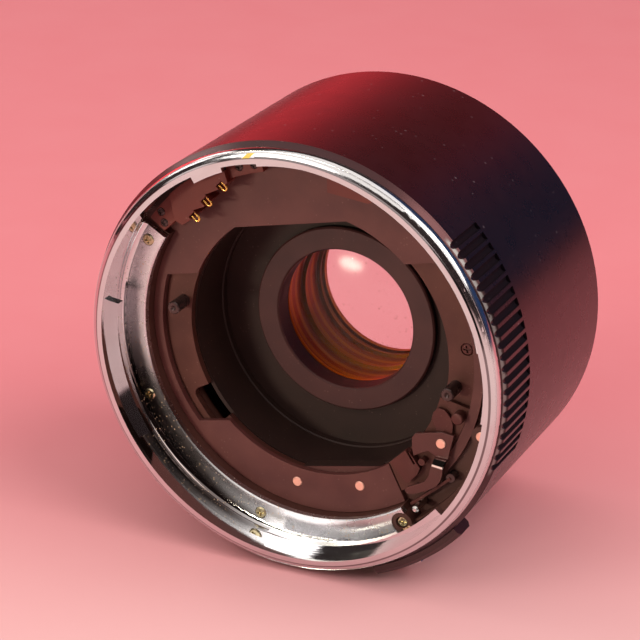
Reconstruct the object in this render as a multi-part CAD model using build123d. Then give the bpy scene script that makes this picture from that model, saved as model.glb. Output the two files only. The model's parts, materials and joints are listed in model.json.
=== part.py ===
from build123d import *
import os
from math import asin, cos, degrees, hypot, radians, sin, sqrt

# Medium-format two-times teleconverter, lying on its side with its lens side towards -Y.
# Everything is drawn in an optical frame first: z runs from the rear seat to the front, y points at the
# index mark, x points to the right as seen from the front. The last step lays the object down as it rests.
# Depths are measured back from the front seat. Angles run clockwise from the index, seen from the front.
# All lengths are in millimetres, all angles in degrees.

# Main body
FLANGE_LENGTH = 53.2
BARREL_R = 43.5
BARREL_WALL = 1.9
REST_ROLL = 12.0
OVERRUN = 1.0
FULL_TURN = 360.0
SEAT_GAP = 0.05
RUNNING_GAP = 0.1
AXIAL_GAP = 0.2

# Barrel shell
BARREL_FRONT_DEPTH = 2.5
BARREL_FRONT_EDGE_R = 42.65
BARREL_FRONT_BEVEL = 1.2
BARREL_REAR_BEVEL = 0.6
BARREL_REAR_INSET = 1.0
GRIP_GROOVE_R = 0.8
GRIP_GROOVE_LIFT = 0.1
GRIP_END_DEPTH = 14.4
GRIP_PITCH = 3.0
GRIP_COUNT = 21
GRIP_CENTRES = (90.0, 270.0)
BEAD_R = 1.1
BEAD_HEIGHT = 0.7
BEAD_ANGLE = -35.0
BEAD_SETBACK = 4.4

# Front bayonet ring
MOUTH_R = 40.05
FACE_OUTER_R = 41.1
FACE_BEVEL = 0.25
BAND_R = 42.6
BAND_BULGE_SHARE = 0.72
BAND_GROOVE_R = 0.14
LIP_R = 38.5
LIP_DEPTH = 3.65
LIP_THICKNESS = 1.8
LIP_SPANS = ((-20.7, -10.6), (0.6, 14.5), (70.0, 110.0), (142.0, 201.4), (248.0, 289.3))
ENTRY_RELIEF = 0.7
FLOOR_DEPTH = 8.7
FLOOR_THICKNESS = 1.5
FLOOR_R = 35.3
FLOOR_FILLET = 1.3
FLOOR_SPANS = ((38.5, 92.0), (157.2, 313.0))
RING_SKIRT_R = 41.5
INDEX_DOT_SPAN = (-0.4, 3.4)
INDEX_DOT_INNER_R = 41.2
INDEX_DOT_OUTER_R = 42.0
INDEX_DOT_HEIGHT = 0.12

# Screws of both mount rings
FLANGE_SCREW_R = 38.1
FLANGE_SCREW_ANGLES = (61.0, 159.6, 207.3, 257.5, 308.9)
BOSS_SCREW_INDEX = 1
SCREW_HEAD_R = 1.2
SCREW_HEAD_HEIGHT = 0.6
SCREW_HEAD_PROUD = 0.25
SCREW_SHANK_R = 0.8
SCREW_LENGTH = 4.5
CROSS_WIDTH = 0.35
CROSS_DEPTH = 0.4
CROSS_SPAN_SHARE = 0.62
BOSS_R = 2.1
BOSS_HEIGHT = 1.3

# Main frame
PLATE_POCKET_DEPTH = 13.4
PLATE_TOP_R = 38.3
PLATE_TOP_SPAN = (-46.4, 38.0)
WEB_THICKNESS = 1.7
CAVITY_R = 35.5
REAR_WEB_SETBACK = 7.7
REAR_WEB_THICKNESS = 2.0
COVER_THICKNESS = 2.0
COVER_R = 34.0
BAY_SPAN = (103.0, 157.4)
BAY_R = 38.9

# Front plate
PLATE_DEPTH = 12.2
PLATE_THICKNESS = 1.2
OPENING_R = 27.2
OPENING_FLAT = 24.4
WINDOW_HALF_HEIGHT = 15.5
WINDOW_R = 33.2
PLATE_END_TOP = (11.0, -24.6)
PLATE_END_BOTTOM = (13.3, -33.6)
PLATE_STRIP_END = 141.0
LEDGE_Y = -26.0
LEDGE_THICKNESS = 1.4
RIVET_R = 1.0
RIVET_HEIGHT = 0.25
RIVET_SHANK_SHARE = 0.7
PLATE_RIVETS = ((-9.8, -28.6), (3.9, -29.5))
FRAME_RIVET_R = 37.5
FRAME_RIVET_ANGLE = 119.5

# Drive ring and its posts
DRIVE_DEPTH = 13.6
DRIVE_THICKNESS = 1.5
DRIVE_INNER_R = 27.5
DRIVE_OUTER_R = 33.05
DRIVE_TRAVEL = 44.0
POST_CIRCLE_R = 29.3
POST_R = 1.3
POST_HEIGHT = 4.5
POST_SHANK_R = 0.9
POST_DIMPLE_R = 0.55
POST_DIMPLE_DEPTH = 0.45
POST_EDGE = 0.2
POST_ANGLES = (109.0, 289.0)
NOTCH_SPAN = (237.0, 252.6)
NOTCH_R = 31.6
NOTCH_CORNER = 1.4
DRIVE_SCREW_R = 31.4
DRIVE_SCREW_ANGLE = 94.0
BAR_ANGLES = (130.0, 310.0)
BAR_WIDTH_ANGLE = 8.0
BAR_INNER_R = 29.0
BAR_OUTER_R = 31.6
SLOT_CLEAR_ANGLE = 1.0
FORK_INNER_INSET = 0.5
FORK_OUTER_INSET = 2.05
FORK_WIDTH_ANGLE = 13.0
FORK_GAP = 2.9
FORK_HEIGHT = 3.4

# Lever mechanism beside the right drive post
BASE_DEPTH = 12.5
BASE_INNER_R = 27.0
BASE_START_ANGLE = 114.5
BASE_FOOT_START = 142.0
BASE_FOOT_END = 150.0
STOP_PIN_POINT = (28.2, -14.95)
STOP_PIN_R = 1.2
STOP_PIN_HEIGHT = 2.2
PIVOT_POINT = (23.7, -20.1)
PIVOT_R = 0.75
LAYER_GAP = 0.1
PAWL_THICKNESS = 0.7
PAWL_OUTLINE = (
    (24.0, -13.1), (25.4, -13.6), (26.4, -15.3), (26.5, -16.8), (26.0, -18.6), (25.2, -21.0),
    (24.0, -21.8), (22.4, -21.2), (22.3, -18.8), (22.9, -17.3), (22.3, -15.2), (22.9, -14.0))
LEVER_THICKNESS = 0.7
LEVER_OUTLINE = (
    (18.6, -18.0), (24.4, -17.8), (26.7, -18.6), (25.5, -21.2), (24.6, -23.3), (22.1, -22.7),
    (20.7, -21.6), (19.0, -22.1), (17.4, -22.6), (17.4, -20.8), (17.8, -18.8))
RISER_OUTLINE = ((22.1, -22.7), (24.6, -23.3), (23.5, -24.7), (21.4, -24.0))
HOOK_OUTLINE = (
    (21.4, -24.0), (23.5, -24.7), (23.2, -26.1), (22.5, -27.6), (21.3, -28.8), (19.2, -29.6),
    (16.2, -30.3), (14.9, -30.2), (14.5, -29.4), (15.3, -28.7), (17.7, -28.1), (19.2, -27.5),
    (20.1, -26.5), (20.8, -25.0))
BLOCK_OUTLINE = ((12.2, -23.8), (15.9, -21.4), (16.7, -21.9), (17.5, -23.4), (18.3, -25.2), (17.5, -26.5),
                 (14.9, -28.4))
BLOCK_SLIT = ((16.1, -21.2), (17.3, -24.3))
BLOCK_SLIT_WIDTH = 0.4
BLOCK_SLIT_DEPTH = 1.0
BLOCK_TOP_DEPTH = 10.8
SMALL_PIN_POINT = (18.9, -23.9)
SMALL_PIN_R = 0.7
SMALL_PIN_HEIGHT = 1.7
SPRING_WIDTH = 0.56
SPRING_HEIGHT = 0.8
SPRING_LIFT = 1.6
SPRING_START = (24.2, -27.4)
SPRING_MIDDLE = (19.4, -30.2)
SPRING_END = (14.8, -32.7)
SPRING_POST_R = 0.9
SPRING_POST_HEIGHT = 2.2

# Release slider and lens lock pin
SLIDER_SPAN = (142.4, 169.5)
SLIDER_DEPTH = 3.9
SLIDER_WIDTH = 5.4
SLIDER_THICKNESS = 1.85
SLIDER_BEVEL = 0.8
SLIDER_TRAVEL = 8.0
SHANK_SPAN = (153.0, 163.0)
SHANK_DEPTH = 10.9
SHANK_WIDTH = 1.7
SHANK_INNER_R = 39.6
TONGUE_SPAN = (151.5, 169.5)
PAD_SPAN = (160.5, 169.5)
PAD_WIDTH = 3.1
PAD_HEIGHT = 2.25
PAD_RIB_R = 0.3
PAD_RIB_COUNT = 5
POCKET_DEPTH = 12.9
LOCK_PIN_R = 0.7
LOCK_PIN_CIRCLE_R = 36.88
LOCK_PIN_ANGLE = 152.95
LOCK_PIN_DEPTH = 8.4
LOCK_PIN_LENGTH = 8.6
LOCK_PIN_TRAVEL = 1.6

# Light baffle, lens cell and glass
BAFFLE_R = 27.3
BAFFLE_WALL = 0.8
BAFFLE_STEP = 0.25
BAFFLE_STEP_HEIGHT = 1.5
BAFFLE_FLOOR_DEPTH = 27.7
BAFFLE_FLOOR_THICKNESS = 1.5
BEZEL_DEPTH = 26.0
BEZEL_R = 19.2
BEZEL_HOLE_R = 14.6
BEZEL_THICKNESS = 1.0
BEZEL_BEVEL = 0.3
CELL_R = 19.1
CELL_BORE_R = 15.9
CELL_END_DEPTH = 50.0
CELL_LIP = 1.1
CELL_LIP_R = 15.2
GLASS_R = 15.8
CEMENT_GAP = 0.02
SPACER_R = 14.9
LOCK_RING_R = 22.0
LOCK_RING_THICKNESS = 1.5
# Each element: depth of its front vertex, its thickness, its two curvature radii, positive when the
# centre lies behind the surface.
ELEMENTS = {
    "lens_element_1": (28.0, 4.4, 45.0, -120.0),
    "lens_element_2": (34.0, 1.2, -60.0, 40.0),
    "lens_element_3": (35.2, 5.2, 40.0, -90.0),
    "lens_element_4": (42.4, 1.2, -45.0, 80.0),
    "lens_element_5": (43.6, 3.4, 80.0, -150.0),
    "lens_element_6": (47.4, 1.1, -150.0, 400.0),
}
SPACED_PAIRS = (("lens_element_1", "lens_element_2"), ("lens_element_3", "lens_element_4"),
                ("lens_element_5", "lens_element_6"))

# Front contact blocks
BLOCK_FRONT_DEPTH = 6.2
BLOCK_EDGE_R = 39.6
CONTACT_EDGE_START = (-17.4, 28.3)
CONTACT_EDGE_END = (-8.0, 35.0)
BLOCK_LEFT_OUTER = (-27.4, 28.8)
BLOCK_LEFT_INNER = (-24.9, 25.9)
BLOCK_LEFT_STEP = (-21.2, 28.2)
BLOCK_LEFT_TOE = (-19.7, 27.2)
BLOCK_RIGHT_OUTER_ANGLE = -11.3
TAB_SPAN = (-15.0, -1.0)
TAB_R = 36.3
TAB_DROP = 1.4
CONTACT_POINTS = ((-16.5, 28.2), (-13.2, 31.1), (-9.2, 33.9))
CONTACT_WIRE_R = 0.22
CONTACT_HALF_WIDTH = 0.5
CONTACT_LEG = 1.1
CONTACT_LEVEL = 6.8
CONTACT_SEAT_WIDTH = 1.7
CONTACT_SEAT_LENGTH = 1.3
BLOCK_STEP_DEPTH = 1.6
BLOCK_STEP_END_DEPTH = 0.5
BLOCK_STEP_INSET = 0.95
BLOCK_SCREWS = ((-24.7, 29.7), (-24.5, 27.5), (-5.6, 37.6), (-2.4, 37.8))
BLOCK_SCREW_R = 0.8
SIDE_BLOCK_OUTLINE = ((12.6, 32.0), (20.5, 29.4), (22.6, 29.9))
SIDE_BLOCK_START_ANGLE = 19.0
SIDE_BLOCK_END_ANGLE = 37.5
SIDE_CONTACTS = ((14.8, 31.3), (19.0, 30.0))
SIDE_CONTACT_R = 0.32
SIDE_CONTACT_LENGTH = 0.8
CIRCUIT_SPAN = (-28.0, -16.0)
CIRCUIT_R = 36.0
CIRCUIT_THICKNESS = 0.3
CIRCUIT_LEG_R = 31.2
CIRCUIT_LEG_DEPTH = 49.6

# Rear bayonet and rear contacts
REAR_FLANGE_R = 42.4
REAR_FLANGE_BEVEL = 0.25
REGISTER_LENGTH = 3.4
REGISTER_CLEARANCE = 0.1
NECK_CLEARANCE = 0.2
TAB_CLEARANCE = 0.3
TAB_START = 5.2
TAB_THICKNESS = 1.5
REAR_TABS = ((-3.0, 40.0), (114.0, 16.0), (179.5, 40.0), (270.0, 42.0))
REAR_TUBE_R = 36.9
REAR_LEDGE_R = 33.0
REAR_LEDGE_HEIGHT = 1.2
REAR_SCREW_R = 35.0
REAR_SCREW_ANGLES = (10.0, 82.0, 154.0, 226.0, 298.0)
REAR_HOLE_R = 16.6
REAR_BLOCKS = (((-34.0, -12.0), (-30.0, -23.0, -16.0)), ((20.0, 34.0), (23.5, 30.5)))
REAR_BLOCK_INNER_R = 28.6
REAR_BLOCK_OUTER_R = 32.8
REAR_BLOCK_HEIGHT = 2.4
CONTACT_PIN_R = 0.6
CONTACT_PIN_PROUD = 1.0
CONTACT_PIN_LENGTH = 2.6
CONTACT_PIN_TRAVEL = 0.8

# Sizes that follow from the ones above
SHELL_INNER_R = BARREL_R - BARREL_WALL
BARREL_REAR_DEPTH = FLANGE_LENGTH - BARREL_REAR_INSET
REAR_WEB_DEPTH = BARREL_REAR_DEPTH - REAR_WEB_SETBACK
RING_END_DEPTH = FLOOR_DEPTH + FLOOR_THICKNESS
FRAME_R = SHELL_INNER_R - RUNNING_GAP
DRIVE_POCKET_R = DRIVE_OUTER_R + RUNNING_GAP
DEEP_WALL_R = MOUTH_R + ENTRY_RELIEF
DRIVE_END_DEPTH = DRIVE_DEPTH + DRIVE_THICKNESS
FORK_INNER_R = DRIVE_INNER_R + FORK_INNER_INSET
FORK_OUTER_R = DRIVE_OUTER_R - FORK_OUTER_INSET
WEB_DEPTH = DRIVE_END_DEPTH + AXIAL_GAP
WEB_END_DEPTH = WEB_DEPTH + WEB_THICKNESS
REAR_WEB_END_DEPTH = REAR_WEB_DEPTH + REAR_WEB_THICKNESS
REAR_DRIVE_DEPTH = REAR_WEB_END_DEPTH + AXIAL_GAP
REAR_DRIVE_END_DEPTH = REAR_DRIVE_DEPTH + DRIVE_THICKNESS
COVER_DEPTH = BARREL_REAR_DEPTH - COVER_THICKNESS
BAFFLE_OUTER_R = BAFFLE_R + BAFFLE_WALL
PLATE_OUTER_R = FLOOR_R - RUNNING_GAP
POST_TOP_DEPTH = DRIVE_DEPTH - POST_HEIGHT
SLIDER_R = BARREL_R + RUNNING_GAP
SLIDER_TOP_R = SLIDER_R + SLIDER_THICKNESS
PAWL_DEPTH = BASE_DEPTH - LAYER_GAP - PAWL_THICKNESS
LEVER_DEPTH = PAWL_DEPTH - LAYER_GAP - LEVER_THICKNESS
HOOK_DEPTH = LEVER_DEPTH - LEVER_THICKNESS - LAYER_GAP
REAR_BLOCK_DEPTH = BARREL_REAR_DEPTH + REAR_BLOCK_HEIGHT


def z_of(depth):
    return FLANGE_LENGTH - depth


def polar(radius, angle):
    return (radius * sin(radians(angle)), radius * cos(radians(angle)))


def radius_of(point):
    return hypot(point[0], point[1])


def turned(points):
    """Solid of revolution about the optical axis from (radius, depth) points."""
    outline = Polyline([(radius, z_of(depth)) for radius, depth in points], close=True)
    return revolve(Plane.XZ * make_face(outline), Axis.Z)


def lifted(face, top, bottom):
    """Solid over a flat face between two depths."""
    return extrude(Pos(Z=z_of(bottom)) * face, amount=bottom - top)


def slab(points, top, bottom):
    return lifted(make_face(Polyline(points, close=True)), top, bottom)


def ring(inner, outer, top, bottom):
    return lifted(Circle(outer) - Circle(inner), top, bottom)


def pin(point, radius, top, bottom):
    return lifted(Pos(*point) * Circle(radius), top, bottom)


def sector_face(inner, outer, start, end):
    middle = (start + end) / 2
    outline = [
        Line(polar(inner, start), polar(outer, start)),
        ThreePointArc(polar(outer, start), polar(outer, middle), polar(outer, end)),
        Line(polar(outer, end), polar(inner, end)),
        ThreePointArc(polar(inner, end), polar(inner, middle), polar(inner, start)),
    ]
    return make_face(outline)


def wedge(inner, outer, start, end, top, bottom):
    return lifted(sector_face(inner, outer, start, end), top, bottom)


def cross_screw(point, head_depth, head_r, shank_r, length):
    """Cross-head screw: low domed head on a plain shank, seated at head_depth."""
    crown = head_depth - SCREW_HEAD_PROUD
    head = pin(point, head_r, crown, head_depth + SCREW_HEAD_HEIGHT)
    head = chamfer(head.edges().group_by(Axis.Z)[-1], SCREW_HEAD_PROUD)
    screw = head + pin(point, shank_r, head_depth, head_depth + length)
    span = head_r * CROSS_SPAN_SHARE
    slot = Rectangle(span + span, CROSS_WIDTH) + Rectangle(CROSS_WIDTH, span + span)
    return screw - lifted(Pos(*point) * slot, crown - OVERRUN, crown + CROSS_DEPTH)


def screw_seat(point, head_depth, length):
    """Hole that a cross_screw sits in, with its counterbore."""
    seat = pin(point, SCREW_HEAD_R + SEAT_GAP, head_depth - OVERRUN, head_depth + SCREW_HEAD_HEIGHT)
    return seat + pin(point, SCREW_SHANK_R + SEAT_GAP, head_depth, head_depth + length + SEAT_GAP)


def barrel_shell():
    front = BARREL_FRONT_DEPTH
    shell = turned([
        (SHELL_INNER_R, front), (BARREL_FRONT_EDGE_R, front), (BARREL_R, front + BARREL_FRONT_BEVEL),
        (BARREL_R, BARREL_REAR_DEPTH - BARREL_REAR_BEVEL),
        (BARREL_R - BARREL_REAR_BEVEL, BARREL_REAR_DEPTH), (SHELL_INNER_R, BARREL_REAR_DEPTH)])
    axis_r = BARREL_R + GRIP_GROOVE_LIFT
    groove = pin((0, axis_r), GRIP_GROOVE_R, front - OVERRUN, GRIP_END_DEPTH)
    half = GRIP_PITCH * (GRIP_COUNT - 1) / 2
    for centre in GRIP_CENTRES:
        for number in range(GRIP_COUNT):
            shell -= Rot(0, 0, half - centre - number * GRIP_PITCH) * groove
    slot_start = SHANK_SPAN[0] - SLIDER_TRAVEL - SLOT_CLEAR_ANGLE
    slot_end = SHANK_SPAN[1] + SLOT_CLEAR_ANGLE
    shell -= wedge(SHELL_INNER_R - OVERRUN, BARREL_R + OVERRUN, slot_start, slot_end,
                   SHANK_DEPTH - RUNNING_GAP, SHANK_DEPTH + SHANK_WIDTH + RUNNING_GAP)
    return shell


def alignment_bead():
    seat = BARREL_R - BEAD_HEIGHT
    ball_r = (BEAD_R ** 2 + BEAD_HEIGHT ** 2) / (BEAD_HEIGHT + BEAD_HEIGHT)
    ball = Pos(0, BARREL_R + BEAD_HEIGHT - ball_r, 0) * Sphere(ball_r)
    stud = Pos(0, seat, 0) * Rot(-90, 0, 0) * Cylinder(BEAD_R, BEAD_HEIGHT + BEAD_HEIGHT + OVERRUN,
                                                      align=(Align.CENTER, Align.CENTER, Align.MIN))
    bead = Pos(0, 0, z_of(BARREL_REAR_DEPTH - BEAD_SETBACK)) * (ball & stud)
    return Rot(0, 0, -BEAD_ANGLE) * bead


def front_bayonet_ring():
    wall_end = FLOOR_DEPTH - FLOOR_FILLET
    lip_end = LIP_DEPTH + LIP_THICKNESS
    band_front = (FACE_OUTER_R + FACE_BEVEL, z_of(FACE_BEVEL))
    band_rear = (BAND_R, z_of(BARREL_FRONT_DEPTH))
    band_middle = (band_front[0] + (band_rear[0] - band_front[0]) * BAND_BULGE_SHARE,
                   band_rear[1] + (band_front[1] - band_rear[1]) * BAND_BULGE_SHARE)
    knee = FLOOR_FILLET * sin(radians(45))
    fillet_middle = (DEEP_WALL_R - FLOOR_FILLET + knee, z_of(wall_end + knee))
    outline = [
        Line((MOUTH_R, z_of(0)), (FACE_OUTER_R, z_of(0))),
        Line((FACE_OUTER_R, z_of(0)), band_front),
        ThreePointArc(band_front, band_middle, band_rear),
        Line(band_rear, (RING_SKIRT_R, z_of(BARREL_FRONT_DEPTH))),
        Line((RING_SKIRT_R, z_of(BARREL_FRONT_DEPTH)), (RING_SKIRT_R, z_of(RING_END_DEPTH))),
        Line((RING_SKIRT_R, z_of(RING_END_DEPTH)), (FLOOR_R, z_of(RING_END_DEPTH))),
        Line((FLOOR_R, z_of(RING_END_DEPTH)), (FLOOR_R, z_of(FLOOR_DEPTH + FACE_BEVEL))),
        Line((FLOOR_R, z_of(FLOOR_DEPTH + FACE_BEVEL)), (FLOOR_R + FACE_BEVEL, z_of(FLOOR_DEPTH))),
        Line((FLOOR_R + FACE_BEVEL, z_of(FLOOR_DEPTH)), (DEEP_WALL_R - FLOOR_FILLET, z_of(FLOOR_DEPTH))),
        ThreePointArc((DEEP_WALL_R - FLOOR_FILLET, z_of(FLOOR_DEPTH)), fillet_middle,
                      (DEEP_WALL_R, z_of(wall_end))),
        Line((DEEP_WALL_R, z_of(wall_end)), (DEEP_WALL_R, z_of(LIP_DEPTH))),
        Line((DEEP_WALL_R, z_of(LIP_DEPTH)), (MOUTH_R, z_of(LIP_DEPTH))),
        Line((MOUTH_R, z_of(LIP_DEPTH)), (MOUTH_R, z_of(0))),
    ]
    body = revolve(Plane.XZ * make_face(outline), Axis.Z)
    groove = Plane.XZ * Pos(*band_middle) * Circle(BAND_GROOVE_R)
    body -= revolve(groove, Axis.Z)
    for start, end in LIP_SPANS:
        body += wedge(LIP_R, DEEP_WALL_R + SEAT_GAP, start, end, LIP_DEPTH, lip_end)
    open_ends = [angle for span in FLOOR_SPANS for angle in span]
    for start, end in ((open_ends[1], open_ends[2]), (open_ends[3], open_ends[0] + FULL_TURN)):
        body -= wedge(FLOOR_R - OVERRUN, DEEP_WALL_R, start, end, wall_end, RING_END_DEPTH + OVERRUN)
    boss = polar(FLANGE_SCREW_R, FLANGE_SCREW_ANGLES[BOSS_SCREW_INDEX])
    body -= pin(boss, BOSS_R + SEAT_GAP, wall_end, RING_END_DEPTH + OVERRUN) & ring(
        FLOOR_R - OVERRUN, DEEP_WALL_R, wall_end, RING_END_DEPTH + OVERRUN)
    for number, angle in enumerate(FLANGE_SCREW_ANGLES):
        if number != BOSS_SCREW_INDEX:
            body -= screw_seat(polar(FLANGE_SCREW_R, angle), FLOOR_DEPTH, SCREW_LENGTH)
    return body


def index_dot():
    dot = wedge(INDEX_DOT_INNER_R, INDEX_DOT_OUTER_R, *INDEX_DOT_SPAN, 0, BARREL_FRONT_DEPTH)
    blank = front_bayonet_ring()
    paint = dot & (Pos(Z=INDEX_DOT_HEIGHT) * blank)
    return paint - blank


def bayonet_screws():
    screws = []
    for number, angle in enumerate(FLANGE_SCREW_ANGLES):
        head_depth = FLOOR_DEPTH
        if number == BOSS_SCREW_INDEX:
            head_depth = RING_END_DEPTH - BOSS_HEIGHT + SCREW_HEAD_HEIGHT
        point = polar(FLANGE_SCREW_R, angle)
        screws.append(cross_screw(point, head_depth, SCREW_HEAD_R, SCREW_SHANK_R, SCREW_LENGTH))
    return screws


def drive_slots(inner, outer, width_angle, angles, top, bottom):
    """Arc slots that let pieces of the drive rings swing through their travel."""
    reach = width_angle / 2 + SLOT_CLEAR_ANGLE
    slots = []
    for angle in angles:
        slots.append(wedge(inner - AXIAL_GAP, outer + AXIAL_GAP, angle - reach - DRIVE_TRAVEL,
                           angle + reach, top - OVERRUN, bottom + OVERRUN))
    return slots


def main_frame():
    body = turned([
        (FLOOR_R, RING_END_DEPTH), (FRAME_R, RING_END_DEPTH), (FRAME_R, BARREL_REAR_DEPTH),
        (COVER_R + SEAT_GAP, BARREL_REAR_DEPTH), (COVER_R + SEAT_GAP, COVER_DEPTH),
        (DRIVE_POCKET_R, COVER_DEPTH), (DRIVE_POCKET_R, REAR_WEB_END_DEPTH),
        (CELL_R + SEAT_GAP, REAR_WEB_END_DEPTH), (CELL_R + SEAT_GAP, REAR_WEB_DEPTH),
        (CAVITY_R, REAR_WEB_DEPTH), (CAVITY_R, WEB_END_DEPTH),
        (BAFFLE_OUTER_R + SEAT_GAP, WEB_END_DEPTH), (BAFFLE_OUTER_R + SEAT_GAP, WEB_DEPTH),
        (DRIVE_POCKET_R, WEB_DEPTH), (DRIVE_POCKET_R, PLATE_POCKET_DEPTH),
        (FLOOR_R, PLATE_POCKET_DEPTH)])
    body -= wedge(FLOOR_R - OVERRUN, PLATE_TOP_R + RUNNING_GAP, *PLATE_TOP_SPAN,
                  RING_END_DEPTH - OVERRUN, PLATE_POCKET_DEPTH)
    body -= wedge(FLOOR_R - OVERRUN, BAY_R, *BAY_SPAN, RING_END_DEPTH - OVERRUN, PLATE_POCKET_DEPTH)
    for slot in drive_slots(BAR_INNER_R, BAR_OUTER_R, BAR_WIDTH_ANGLE, BAR_ANGLES, WEB_DEPTH, WEB_END_DEPTH):
        body -= slot
    for slot in drive_slots(BAR_INNER_R, BAR_OUTER_R, BAR_WIDTH_ANGLE, BAR_ANGLES,
                            REAR_WEB_DEPTH, REAR_WEB_END_DEPTH):
        body -= slot
    body -= wedge(BAFFLE_OUTER_R, NOTCH_R, *NOTCH_SPAN, WEB_DEPTH - OVERRUN, WEB_END_DEPTH + OVERRUN)
    boss = polar(FLANGE_SCREW_R, FLANGE_SCREW_ANGLES[BOSS_SCREW_INDEX])
    body += pin(boss, BOSS_R, RING_END_DEPTH - BOSS_HEIGHT, PLATE_POCKET_DEPTH) & ring(
        FLOOR_R + SEAT_GAP, MOUTH_R - SEAT_GAP, RING_END_DEPTH - BOSS_HEIGHT, PLATE_POCKET_DEPTH)
    rivet = polar(FRAME_RIVET_R, FRAME_RIVET_ANGLE)
    body += pin(rivet, RIVET_R + RIVET_R, RING_END_DEPTH, PLATE_POCKET_DEPTH) & ring(
        FLOOR_R, FRAME_R, RING_END_DEPTH, PLATE_POCKET_DEPTH)
    for number, angle in enumerate(FLANGE_SCREW_ANGLES):
        head_depth = FLOOR_DEPTH
        if number == BOSS_SCREW_INDEX:
            head_depth = RING_END_DEPTH - BOSS_HEIGHT + SCREW_HEAD_HEIGHT
        body -= screw_seat(polar(FLANGE_SCREW_R, angle), head_depth, SCREW_LENGTH)
    pocket_start = SHANK_SPAN[0] - SLIDER_TRAVEL - SLOT_CLEAR_ANGLE
    pocket_end = SHANK_SPAN[1] + SLOT_CLEAR_ANGLE
    body -= wedge(SHANK_INNER_R - RUNNING_GAP, FRAME_R + OVERRUN, pocket_start, pocket_end,
                  SHANK_DEPTH - RUNNING_GAP, POCKET_DEPTH)
    lock = polar(LOCK_PIN_CIRCLE_R, LOCK_PIN_ANGLE)
    lock_end = LOCK_PIN_DEPTH + LOCK_PIN_LENGTH + LOCK_PIN_TRAVEL + AXIAL_GAP
    body -= pin(lock, LOCK_PIN_R + SEAT_GAP, RING_END_DEPTH - OVERRUN, lock_end)
    body -= wedge(FLOOR_R - OVERRUN, CIRCUIT_R, *CIRCUIT_SPAN, PLATE_POCKET_DEPTH, COVER_DEPTH)
    body -= wedge(CIRCUIT_LEG_R, CAVITY_R, *CIRCUIT_SPAN, CIRCUIT_LEG_DEPTH, COVER_DEPTH + OVERRUN)
    rear_seat = BARREL_REAR_DEPTH
    for angle in REAR_SCREW_ANGLES:
        body -= pin(polar(REAR_SCREW_R, angle), SCREW_SHANK_R + SEAT_GAP, rear_seat - SCREW_LENGTH,
                    rear_seat + OVERRUN)
    return body


def plate_end_side():
    """Everything right of the line where the front plate ends beside the mechanism."""
    far = BARREL_R + BARREL_R
    return [PLATE_END_TOP, (PLATE_END_TOP[0], 0), (far, 0), (far, -far), (PLATE_END_BOTTOM[0], -far),
            PLATE_END_BOTTOM]


def front_plate():
    bottom = PLATE_DEPTH + PLATE_THICKNESS
    face = Circle(PLATE_OUTER_R) + sector_face(OPENING_R, PLATE_TOP_R, *PLATE_TOP_SPAN)
    height = OPENING_FLAT + OPENING_R
    opening = Circle(OPENING_R) & (Pos(0, OPENING_FLAT - height / 2) * Rectangle(OPENING_R * 2, height))
    windows = Circle(WINDOW_R) & Rectangle(WINDOW_R * 2, WINDOW_HALF_HEIGHT * 2)
    bay = make_face(Polyline(plate_end_side(), close=True)) & Circle(BARREL_R)
    strip = sector_face(WINDOW_R, BARREL_R, 0, PLATE_STRIP_END)
    face = face - opening - windows - (bay - strip)
    pieces = sorted(face.faces(), key=lambda piece: piece.area)
    plate = lifted(pieces[-1], PLATE_DEPTH, bottom)
    for point in PLATE_RIVETS:
        plate -= pin(point, RIVET_R * RIVET_SHANK_SHARE + SEAT_GAP, PLATE_DEPTH - OVERRUN, bottom + OVERRUN)
    return plate


def plate_rivets():
    rivets = []
    for point in PLATE_RIVETS:
        head = pin(point, RIVET_R, PLATE_DEPTH - RIVET_HEIGHT, PLATE_DEPTH)
        head = chamfer(head.edges().group_by(Axis.Z)[-1], RIVET_HEIGHT / 2)
        rivets.append(head + pin(point, RIVET_R * RIVET_SHANK_SHARE, PLATE_DEPTH, PLATE_DEPTH + PLATE_THICKNESS))
    point = polar(FRAME_RIVET_R, FRAME_RIVET_ANGLE)
    head = pin(point, RIVET_R, RING_END_DEPTH - RIVET_HEIGHT, RING_END_DEPTH)
    rivets.append(chamfer(head.edges().group_by(Axis.Z)[-1], RIVET_HEIGHT / 2))
    return rivets


def light_baffle():
    floor_end = BAFFLE_FLOOR_DEPTH + BAFFLE_FLOOR_THICKNESS
    step_depth = BAFFLE_FLOOR_DEPTH - BAFFLE_STEP_HEIGHT
    tube = turned([
        (BAFFLE_R, WEB_DEPTH), (BAFFLE_OUTER_R, WEB_DEPTH), (BAFFLE_OUTER_R, floor_end),
        (CELL_R + SEAT_GAP, floor_end), (CELL_R + SEAT_GAP, BAFFLE_FLOOR_DEPTH),
        (BAFFLE_R - BAFFLE_STEP, BAFFLE_FLOOR_DEPTH), (BAFFLE_R - BAFFLE_STEP, step_depth),
        (BAFFLE_R, step_depth - BAFFLE_STEP)])
    shelf_r = DRIVE_INNER_R - RUNNING_GAP
    below = Pos(0, LEDGE_Y - shelf_r) * Rectangle(shelf_r * 2, shelf_r * 2)
    tube += lifted(Circle(shelf_r) & below, DRIVE_DEPTH, WEB_DEPTH)
    return tube + lifted(Circle(BAFFLE_R + RUNNING_GAP) & below, WEB_DEPTH, WEB_DEPTH + LEDGE_THICKNESS)


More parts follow.
